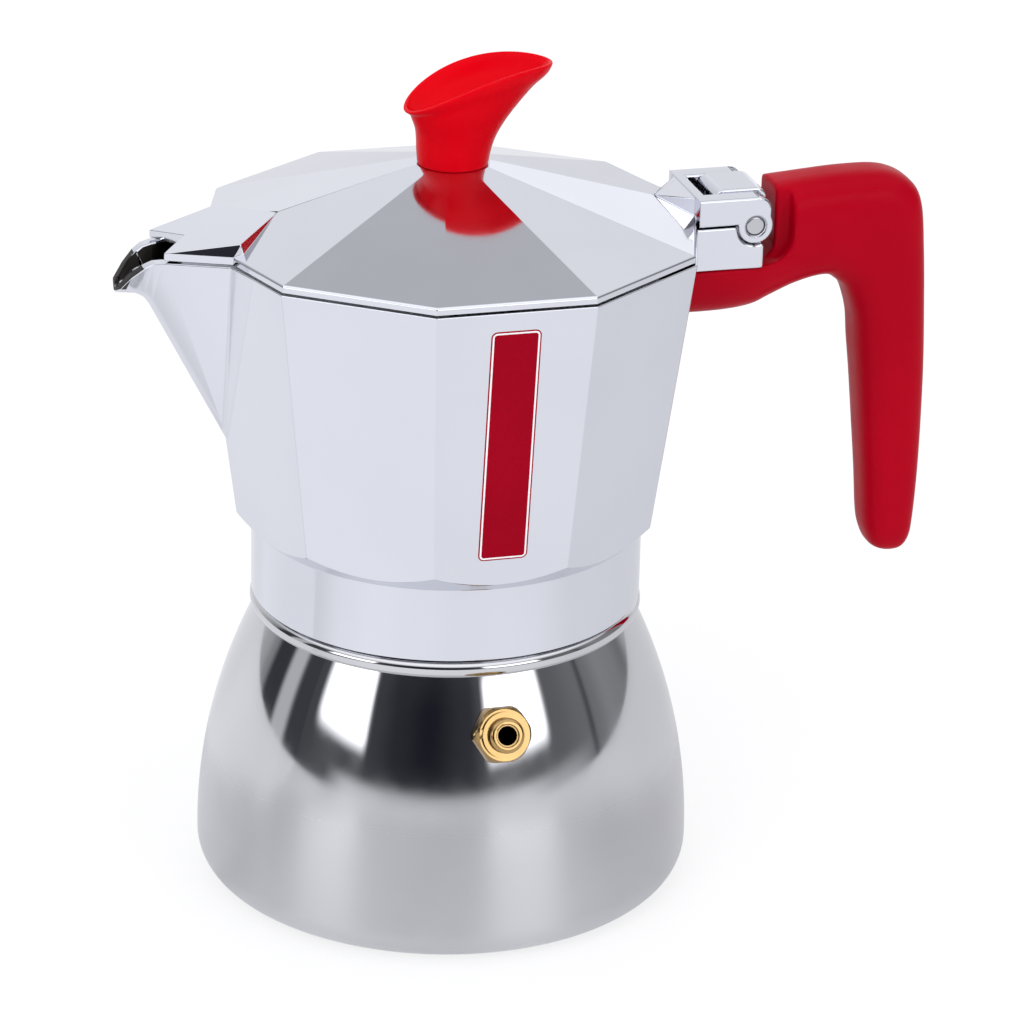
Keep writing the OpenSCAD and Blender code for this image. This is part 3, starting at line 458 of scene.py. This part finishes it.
def soften(piece, width, segments=2, angle=25, width_at=None):
    """Rounds a piece's edges by a width in millimetres.
    width_at(x, y, z) may give an edge another width by its middle."""
    corners = [vertex.co.copy() for vertex in piece.data.vertices]
    least = [min(corner[i] for corner in corners) for i in range(3)]
    most = [max(corner[i] for corner in corners) for i in range(3)]
    with edited(piece.data) as form:
        weight = form.edges.layers.float.new("bevel_weight_edge")
        chosen = []
        for edge in form.edges:
            if len(edge.link_faces) == 2 and edge.calc_face_angle(0) > math.radians(angle):
                middle = (edge.verts[0].co + edge.verts[1].co) / (2 * MM)
                chosen.append((edge, width_at(*middle) if width_at else width))
        widest = max(edge_width for edge, edge_width in chosen)
        for edge, edge_width in chosen:
            edge[weight] = edge_width / widest
    bevel = piece.modifiers.new("edges", "BEVEL")
    bevel.limit_method = "WEIGHT"
    bevel.width = widest * MM
    bevel.segments = segments
    bevel.use_clamp_overlap = False
    bevel.harden_normals = False
    flats = piece.modifiers.new("flats", "WEIGHTED_NORMAL")
    flats.mode = "FACE_AREA"
    flats.weight = 90
    smooth_by_angle(piece.data, 60)
    apply_modifiers(piece)
    # A bevel may push a sharp tip out a little, so the piece is held in its own box
    for vertex in piece.data.vertices:
        for i in range(3):
            vertex.co[i] = min(max(vertex.co[i], least[i]), most[i])


def softened(name, node, body, slot, width, materials=(), **how):
    """A copy of a CAD solid with its edges rounded by a width in millimetres."""
    piece = add_piece(name, cad_copy(node), body, node, slot, *materials)
    soften(piece, width, **how)
    return piece


def melt(piece, voxel, rounds):
    """Rounds every edge of a piece a little, as in a moulding."""
    remesh = piece.modifiers.new("voxels", "REMESH")
    remesh.mode = "VOXEL"
    remesh.voxel_size = voxel * MM
    smooth = piece.modifiers.new("melt", "SMOOTH")
    smooth.factor = 0.5
    smooth.iterations = rounds
    apply_modifiers(piece)
    piece.data.shade_smooth()


def smooth_rows(rows, steps):
    """Rows of numbers on the smooth curve through the given rows."""
    last = len(rows) - 1
    path = []
    for i in range(last):
        around = rows[max(i - 1, 0)], rows[i], rows[i + 1], rows[min(i + 2, last)]
        for k in range(steps):
            u = k / steps
            path.append([
                (2 * b + (c - a) * u + (2 * a - 5 * b + 4 * c - d) * u**2 + (3 * b - a - 3 * c + d) * u**3) / 2
                for a, b, c, d in zip(*around)
            ])
    return path + [list(rows[last])]


def loft_mesh(name, rings):
    """A closed solid through rings of points in millimetres, all with the same count."""
    count = len(rings[0])
    last = (len(rings) - 1) * count
    faces = [tuple(range(count)), tuple(last + k for k in reversed(range(count)))]
    for i in range(0, last, count):
        for k in range(count):
            j = (k + 1) % count
            faces.append((i + k, i + j, i + count + j, i + count + k))
    mesh = bpy.data.meshes.new(name)
    mesh.from_pydata([Vector(point) * MM for ring in rings for point in ring], [], faces)
    with edited(mesh) as form:
        bmesh.ops.recalc_face_normals(form, faces=form.faces)
    return mesh


def shape(piece, operation, *tools):
    """Takes closed meshes away from a piece, or keeps what lies inside them."""
    for mesh in tools:
        tool = bpy.data.objects.new("tool", mesh)
        scene.collection.objects.link(tool)
        boolean = piece.modifiers.new("shape", "BOOLEAN")
        boolean.operation = operation
        boolean.solver = "EXACT"
        boolean.object = tool
        apply_modifiers(piece)
        bpy.data.objects.remove(tool)


def round_tool(x, r, low_z, high_z, grow=0.0, sides=48):
    """An upright round or ten-sided tool; grow widens its top."""
    return loft_mesh("round", [
        [(x + (r + wider) * math.cos(2 * math.pi * k / sides), (r + wider) * math.sin(2 * math.pi * k / sides), z)
         for k in range(sides)]
        for z, wider in ((low_z, 0), (high_z, grow))
    ])


def lathe(name, profile, body, node, slot, steps=256, radius_at=None):
    """A closed solid turned from a profile of (radius, height) in millimetres.
    radius_at(radius, height, angle) may change a point's radius, as a thread does."""
    verts = []
    faces = []
    count = len(profile)
    for i in range(steps):
        angle = 2 * math.pi * i / steps
        for radius, height in profile:
            r = radius_at(radius, height, angle) if radius_at else radius
            verts.append((r * math.cos(angle) * MM, r * math.sin(angle) * MM, height * MM))
    for i in range(steps):
        j = (i + 1) % steps
        for k in range(count - 1):
            faces.append((i * count + k, j * count + k, j * count + k + 1, i * count + k + 1))
    mesh = bpy.data.meshes.new(name)
    mesh.from_pydata(verts, [], faces)
    with edited(mesh) as form:
        bmesh.ops.remove_doubles(form, verts=form.verts, dist=0.0005 * MM)
        bmesh.ops.recalc_face_normals(form, faces=form.faces)
    smooth_by_angle(mesh, 40)
    return add_piece(name, mesh, body, node, slot)


def arc(centre, radius, start, end, steps):
    """Points along an arc in a profile, angles in degrees from the radius direction."""
    points = []
    for i in range(steps + 1):
        a = math.radians(start + (end - start) * i / steps)
        points.append((centre[0] + radius * math.cos(a), centre[1] + radius * math.sin(a)))
    return points


# ---------------------------------------------------------------- boiler

THREAD_PITCH = 3.0
THREAD_DEPTH = 0.75
THREAD_LOW = BEAD_Z + BEAD_H + 0.8
THREAD_HIGH = NECK_TOP_Z - 0.9


def thread_radius(radius, height, angle):
    """Cuts a rounded helical groove into the outside of the neck."""
    if radius < NECK_R - 0.01 or radius > NECK_R + 0.01 or not THREAD_LOW < height < THREAD_HIGH:
        return radius
    turn = height / THREAD_PITCH - angle / (2 * math.pi)
    ease = min(1.0, height - THREAD_LOW, THREAD_HIGH - height)
    return radius - THREAD_DEPTH * ease * (0.5 - 0.5 * math.cos(2 * math.pi * turn)) ** 0.8


def boiler_profile():
    """The boiler's outline from the middle of its base, up the outside and down the inside."""
    base_r = BELLY_R - BASE_ROUND
    top_angle = math.degrees(math.asin((SHOULDER_Z - 0.2 - BELLY_Z) / SIDE_R))
    side_centre = (BELLY_R - SIDE_R, BELLY_Z)
    points = [(0, 0), (base_r * 0.5, 0), (base_r - 1, 0)]
    points += arc((base_r, BASE_ROUND), BASE_ROUND, -90, 0, 16)
    points += arc(side_centre, SIDE_R, 0.05, top_angle, 44)
    shoulder_r = points[-1][0]
    bead_mid = BEAD_Z + BEAD_H / 2
    bead_half = BEAD_H / 2
    points += [(max(shoulder_r - 0.6, BEAD_R - 0.9), SHOULDER_Z - 0.02)]
    points += arc((BEAD_R - 1.2, bead_mid), bead_half, -50, 90, 14)
    points += [(NECK_R + 0.5, BEAD_Z + BEAD_H), (NECK_R, BEAD_Z + BEAD_H + 0.3)]
    rows = 60
    low, high = BEAD_Z + BEAD_H + 0.4, NECK_TOP_Z - 0.5
    points += [(NECK_R, low + (high - low) * i / rows) for i in range(rows + 1)]
    lip = NECK_WALL / 2
    points += arc((NECK_R - lip, NECK_TOP_Z - lip + 0.35), lip, 0, 180, 12)
    neck_in = NECK_R - NECK_WALL
    points += [(neck_in, NECK_TOP_Z - 3), (neck_in, SHOULDER_Z + 0.2), (neck_in + 0.5, SHOULDER_Z - BOILER_WALL)]
    inner_top = math.degrees(math.asin((SHOULDER_Z - BOILER_WALL - 0.4 - BELLY_Z) / (SIDE_R - BOILER_WALL)))
    points += arc(side_centre, SIDE_R - BOILER_WALL, inner_top, 0, 20)
    points += arc((base_r, BASE_ROUND), BASE_ROUND - BOILER_WALL, 0, -90, 10)
    points += [(0, BOILER_WALL)]
    return points


def valve_place():
    """Puts a mesh on the boiler's side, its own +Z along the surface's normal."""
    lean = math.asin((VALVE_Z - BELLY_Z) / SIDE_R)
    skin = BELLY_R - SIDE_R + SIDE_R * math.cos(lean)
    return Matrix.Translation(Vector((0, -skin, VALVE_Z)) * MM) @ Matrix.Rotation(math.pi / 2 - lean, 4, "X")


def make_boiler():
    """The turned boiler with its neck's thread and the valve's hole."""
    piece = lathe("boiler_shell", boiler_profile(), "boiler_base", "boiler", "boiler_steel", 288, thread_radius)
    hole = round_tool(0, VALVE_HOLE_R, -4, 4)
    hole.transform(valve_place())
    shape(piece, "DIFFERENCE", hole)


# ---------------------------------------------------------------- label


def make_label():
    """A plain red plate with a thin pale line, on the flat that faces the safety valve."""
    low_z, high_z, width, corner, edge, line = 76.5, 121.6, 9.0, 1.1, 0.25, 0.32
    face_cos = math.cos(math.pi / SIDES)
    slope = (BODY_R_TOP - BODY_R_LOW) * face_cos / BODY_H
    length = (high_z - low_z) * math.hypot(1, slope)

    def outline(inset, steps=6):
        half_w, half_l = width / 2 - inset, length / 2 - inset
        r = max(corner - inset, 0.15)
        points = []
        for cx, cy, start in ((1, 1, 0), (-1, 1, 90), (-1, -1, 180), (1, -1, 270)):
            for i in range(steps + 1):
                a = math.radians(start + 90 * i / steps)
                points.append((cx * (half_w - r) + r * math.cos(a), cy * (half_l - r) + r * math.sin(a)))
        return points

    thick, sunk = 0.06, -0.05
    rings = [(outline(0), sunk), (outline(0), thick - 0.02), (outline(0.03), thick),
             (outline(edge), thick), (outline(edge + line), thick), (outline(edge + line + 0.01), thick - 0.015)]
    count = len(rings[0][0])
    verts = [(x, y, h) for points, h in rings for x, y in points]
    faces = []
    for i in range(len(rings) - 1):
        for k in range(count):
            faces.append((i * count + k, i * count + (k + 1) % count,
                          (i + 1) * count + (k + 1) % count, (i + 1) * count + k))
    faces.append(tuple((len(rings) - 1) * count + k for k in range(count)))
    faces.append(tuple(reversed(range(count))))
    mesh = bpy.data.meshes.new("label_plate")
    middle_z = (low_z + high_z) / 2
    distance = (BODY_R_LOW + (BODY_R_TOP - BODY_R_LOW) * (middle_z - BODY_Z) / BODY_H) * face_cos
    along = Vector((0, -slope, 1)).normalized()
    across = Vector((1, 0, 0))
    out = across.cross(along)
    centre = Vector((0, -distance, middle_z))
    mesh.from_pydata([(centre + across * x + along * y + out * h) * MM for x, y, h in verts], [], faces)
    add_piece("label_plate", mesh, "upper_pot", None, "handle_red", "label_line", "label_red")
    for i, face in enumerate(mesh.polygons):
        face.material_index = 0 if i // count == 3 else 1


# ---------------------------------------------------------------- chamber


def make_chamber():
    """The cast chamber, polished outside, duller inside, with painted shade in the spout's channel: a near-black
    finish on the channel's faces below its lip, where it lies in shadow.
    """
    piece = softened(
        "chamber_casting", "upper_chamber", "upper_pot", "cast_aluminium", 0.22,
        ("cast_aluminium", "cast_inside", "cast_painted_shade"),
        width_at=lambda x, y, z:
            0.45 if x > BODY_R_TOP + 0.5 else 0.3 if x < -BODY_R_TOP and z > RIM_Z - 14 else 0.22,
    )
    lip = [(v.co.x / MM, v.co.z / MM) for v in piece.data.vertices if v.co.x < -40 * MM]
    for face in piece.data.polygons:
        x, y, z = (v / MM for v in face.center)
        out = face.normal
        reach = math.hypot(x, y)
        inward = out.x * x + out.y * y < -0.3 * reach
        if x < -BODY_R_TOP + 6:
            lip_z = max((h for at, h in lip if abs(at - x) < 1.5), default=RIM_Z)
            # Painted shade: faces in the spout's channel below the lip take the near-black finish
            if z < lip_z - 0.9 and (out.z > 0.25 or out.y * y < -0.05 * abs(y) or out.x > 0.3):
                face.material_index = 2
        elif (inward and x < BODY_R_TOP - 3 and z > BODY_Z) or (inward and z < BODY_Z - 0.5):
            face.material_index = 1
        elif out.z > 0.5 and reach < BODY_R_LOW - 2 and z < RIM_Z - 5:
            face.material_index = 1


# ---------------------------------------------------------------- lid


def make_lid():
    """The lid, with crisp facets, rounder hinge ears and a narrow shadow gap over the chamber's rim."""
    piece = softened(
        "lid_casting", "lid", "cover", "cast_aluminium", 0.16, angle=5,
        width_at=lambda x, y, z: 0.5 if x > BODY_R_TOP - 2.5 else 0.16
    )
    for vertex in piece.data.vertices:
        if abs(vertex.co.z / MM - LID_Z) < 0.03 and vertex.co.x < (BODY_R_TOP - 4) * MM:
            vertex.co.z += 0.2 * MM


# ---------------------------------------------------------------- safety valve


def make_valve():
    """The valve's hexagon, its corners turned down round, and its nozzle, with painted shade in the bore: a dark
    brass finish on the faces inside it.
    """
    place = valve_place()
    hexagon = add_piece(
        "valve_hexagon", cad_copy("valve_body"), "boiler_base", "valve_body", "valve_brass",
        "valve_brass", "brass_painted_shade",
    )
    nozzle = softened(
        "valve_nozzle", "valve_cap", "boiler_base", "valve_brass", 0.12, ("valve_brass", "brass_painted_shade")
    )
    corner = HEX_R * 0.955
    profile = [
        (0, -16), (HEX_R + 1, -16), (HEX_R + 1, -0.6), (corner, -0.5), (corner, HEX_H * 0.45),
        (corner - 0.25, HEX_H * 0.75), (corner - 0.75, HEX_H), (corner - 2, HEX_H + 3), (0, HEX_H + 3),
    ]
    rings = [[(r * math.cos(a * math.pi / 48), r * math.sin(a * math.pi / 48), h) for a in range(96)]
             for r, h in profile[1:-1]]
    tool = loft_mesh("turned", rings)
    tool.transform(place)
    shape(hexagon, "INTERSECT", tool)
    with edited(hexagon.data) as form:
        bmesh.ops.remove_doubles(form, verts=form.verts, dist=0.004 * MM)
        bmesh.ops.dissolve_limit(form, angle_limit=math.radians(1), verts=form.verts, edges=form.edges)
    smooth_by_angle(hexagon.data, 24)
    to_axis = place.inverted()
    for piece in (hexagon, nozzle):
        for face in piece.data.polygons:
            x, y, z = to_axis @ face.center
            out = to_axis.to_3x3() @ face.normal
            reach = math.hypot(x, y)
            # Painted shade: faces inside the bore take the dark brass finish
            if reach < VALVE_BORE_REACH * MM and out.x * x + out.y * y < -0.6 * reach:
                face.material_index = 1


# ---------------------------------------------------------------- handle

HANDLE_SQUARE = 3.0

# Outer point x and z, inner point x and z, half width, from the pot to the lower end
HANDLE_ROWS = [
    (BODY_R_LOW, HANDLE_TOP_Z - 1.8, BODY_R_LOW, ARM_Z, 9.7),
    (PIN_X - 4, HANDLE_TOP_Z - 1.9, PIN_X - 5.4, ARM_Z, 9.7),
    (PIN_X + 3.5, HANDLE_TOP_Z - 1.7, PIN_X + 0.8, ARM_Z + 0.5, 8.8),
    (HANDLE_REACH - 29, HANDLE_TOP_Z - 1.3, HANDLE_REACH - 32.2, ARM_Z + 1.9, 7.9),
    (HANDLE_REACH - 23.5, HANDLE_TOP_Z - 0.8, HANDLE_REACH - 27.6, ARM_Z + 3.7, 7.3),
    (HANDLE_REACH - 16.6, HANDLE_TOP_Z - 0.4, HANDLE_REACH - 23.5, ARM_Z + 4.8, 7.2),
    (HANDLE_REACH - 9.4, HANDLE_TOP_Z - 0.7, HANDLE_REACH - 20.5, ARM_Z + 5.0, 7.3),
    (HANDLE_REACH - 4.8, HANDLE_TOP_Z - 2.9, HANDLE_REACH - 18.4, ARM_Z + 3.8, 7.3),
    (HANDLE_REACH - 2.5, HANDLE_TOP_Z - 6.8, HANDLE_REACH - 16.4, ARM_Z + 1.6, 7.3),
    (HANDLE_REACH - 1.5, HANDLE_TOP_Z - 16.3, HANDLE_REACH - 14.6, ARM_Z - 3.9, 7.2),
    (HANDLE_REACH - 0.8, HANDLE_TOP_Z - 27, HANDLE_REACH - 14.0, ARM_Z - 9.7, 7.0),
    (HANDLE_REACH - 0.2, HANDLE_TOP_Z - 39, HANDLE_REACH - 13.2, HANDLE_END_Z + 35.6, 6.7),
    (HANDLE_REACH, HANDLE_END_Z + 24.8, HANDLE_REACH - 12.2, HANDLE_END_Z + 25.9, 6.3),
    (HANDLE_REACH - 0.1, HANDLE_END_Z + 14.8, HANDLE_REACH - 11.2, HANDLE_END_Z + 15.9, 5.9),
    (HANDLE_REACH - 0.5, HANDLE_END_Z + 6.8, HANDLE_REACH - 10.5, HANDLE_END_Z + 7.5, 5.6),
    (HANDLE_REACH - 0.9, HANDLE_END_Z + 3.4, HANDLE_REACH - 9.8, HANDLE_END_Z + 4.1, 5.1),
    (HANDLE_REACH - 1.9, HANDLE_END_Z + 1.2, HANDLE_REACH - 8.6, HANDLE_END_Z + 1.6, 4.0),
    (HANDLE_REACH - 3.6, HANDLE_END_Z, HANDLE_REACH - 6.4, HANDLE_END_Z + 0.3, 2.0),
]


def handle_ring(row, count=56):
    """A squarish ring across the handle between its outer and inner points."""
    outer_x, outer_z, inner_x, inner_z, half_w = row
    points = []
    for k in range(count):
        a = 2 * math.pi * k / count
        c = math.copysign(abs(math.cos(a)) ** (2 / HANDLE_SQUARE), math.cos(a))
        s = math.copysign(abs(math.sin(a)) ** (2 / HANDLE_SQUARE), math.sin(a))
        points.append((
            (outer_x + inner_x) / 2 + (outer_x - inner_x) / 2 * c,
            half_w * s,
            (outer_z + inner_z) / 2 + (outer_z - inner_z) / 2 * c,
        ))
    return points


def notch_tool(depth_x, r, low_y, high_y):
    """The room above the arm up to a depth, with a rounded corner, between two widths."""
    side = [(0, BRACKET_Z)] + [
        (depth_x - r + r * math.cos(math.radians(a)), BRACKET_Z + r + r * math.sin(math.radians(a)))
        for a in range(-90, 1, 9)
    ] + [(depth_x, BRACKET_Z + 40), (0, BRACKET_Z + 40)]
    return loft_mesh("notch", [[(x, y, z) for x, z in side] for y in (low_y, high_y)])


def make_handle():
    """The moulded handle, with the room above its arm, the body's corner and the screw's seat cut out."""
    rings = [handle_ring(row) for row in smooth_rows(HANDLE_ROWS, 10)]
    piece = add_piece("handle_moulding", loft_mesh("handle_moulding", rings), "upper_pot", "handle", "handle_red")
    top_z = RIM_Z + 5
    taper = (BODY_R_TOP - BODY_R_LOW) * (top_z - BODY_Z) / BODY_H
    shape(
        piece, "DIFFERENCE",
        notch_tool(60.0, 3.0, -30, 30),
        notch_tool(62.7, 5.0, 4.65, 30),
        notch_tool(62.7, 5.0, -30, -4.65),
        round_tool(0, BODY_R_LOW + 0.15, BODY_Z, top_z, taper, SIDES),
        round_tool(SCREW_X, 2.2, ARM_Z - 2, BRACKET_Z + 5),
        round_tool(SCREW_X, 3.8, ARM_Z - 2, ARM_Z + 3.6),
    )
    melt(piece, 0.35, 8)


# ---------------------------------------------------------------- knob


def knob_ring(row, count=96):
    """A ring of the knob; the row is its centre, half length, half width, height, tilt, bulge and taper."""
    centre, half_l, half_w, height, tilt, bulge, egg = row
    points = []
    for k in range(count):
        a = 2 * math.pi * k / count
        along, across = math.cos(a), math.sin(a)
        z = KNOB_Z + height + tilt * along + bulge * across**2
        points.append((centre + half_l * along, half_w * across * (1 - egg * along), z))
    return points


def make_knob():
    """The knob: a round foot that spreads into a long dish, higher at its tip, with a rounded rim."""
    foot, half_l, half_w, middle, height, tilt = 6.4, 13.5, 8.3, 4.5, 13.8, 3.75
    rows = [
        (0, foot - 0.3, foot - 0.3, 0, 0, 0, 0),
        (0, foot, foot, 0.3, 0, 0, 0),
        (0.1, foot + 0.3, foot + 0.2, 2.4, 0, 0, 0),
        (0.5, foot + 0.8, foot + 0.4, 4.9, 0.2, 0, 0),
        (1.2, foot + 1.7, foot + 0.7, 7.1, 0.7, 0.2, 0.04),
        (2.1, foot + 3.1, foot + 1.1, 9.3, 1.4, 0.7, 0.08),
        (3.3, foot + 4.9, half_w - 0.5, 11.6, 2.3, 1.4, 0.12),
        (middle - 0.2, half_l - 0.7, half_w - 0.1, height - 1.0, tilt - 0.6, 2.1, 0.15),
        (middle, half_l, half_w, height, tilt, 2.6, 0.16),
        (middle, half_l - 0.5, half_w - 0.5, height + 0.35, tilt, 2.6, 0.16),
        (middle, half_l - 1.2, half_w - 1.1, height - 0.2, tilt, 2.4, 0.16),
        (middle - 0.2, half_l - 3.2, half_w - 2.4, height - 1.9, tilt - 0.7, 1.4, 0.12),
        (middle - 0.7, half_l - 6.6, half_w - 4.5, height - 3.4, tilt - 1.9, 0.5, 0.06),
        (middle - 1.1, 1.4, 1.0, height - 4.2, 0.15, 0, 0),
        (middle - 1.1, 0.1, 0.1, height - 4.25, 0, 0, 0),
    ]
    bore = [(0, 0.1, 0.1, 7, 0, 0, 0), (0, 1.96, 1.96, 7, 0, 0, 0), (0, 1.96, 1.96, 0, 0, 0, 0)]
    mesh = loft_mesh("knob_moulding", [knob_ring(row) for row in bore + smooth_rows(rows, 6)])
    smooth_by_angle(mesh, 50)
    add_piece("knob_moulding", mesh, "cover", "knob", "knob_red")


# ---------------------------------------------------------------- all pieces

make_camera()
make_world()
make_floor()
make_lamp("key", (-0.7, -0.9, 0.9), (0, 0, 0.07), 0.7, 5, False)
make_lamp("fill", (0.9, -0.7, 0.5), (0, 0, 0.07), 0.8, 2, False)
make_lamp("back", (0.2, 0.9, 0.9), (0, 0, 0.07), 0.8, 2, False)

SLOT_OF = {s["node"]: s["material_slot"] for s in frame["record"]["subparts"]}
for node_name, node_object in nodes.items():
    dress(node_object, SLOT_OF[node_name])

make_boiler()
make_chamber()
make_lid()
make_valve()
softened("pin_rounded", "hinge_pin", "upper_pot", "fastener_steel", 0.4, segments=3)
# Painted shade: the valve's ball and spring, seen down the bore, take a dark steel finish
for node_name in ("valve_ball", "valve_spring"):
    dress(nodes[node_name], "steel_painted_shade")
make_handle()
make_knob()
make_label()

scene.view_settings.view_transform = "Standard"
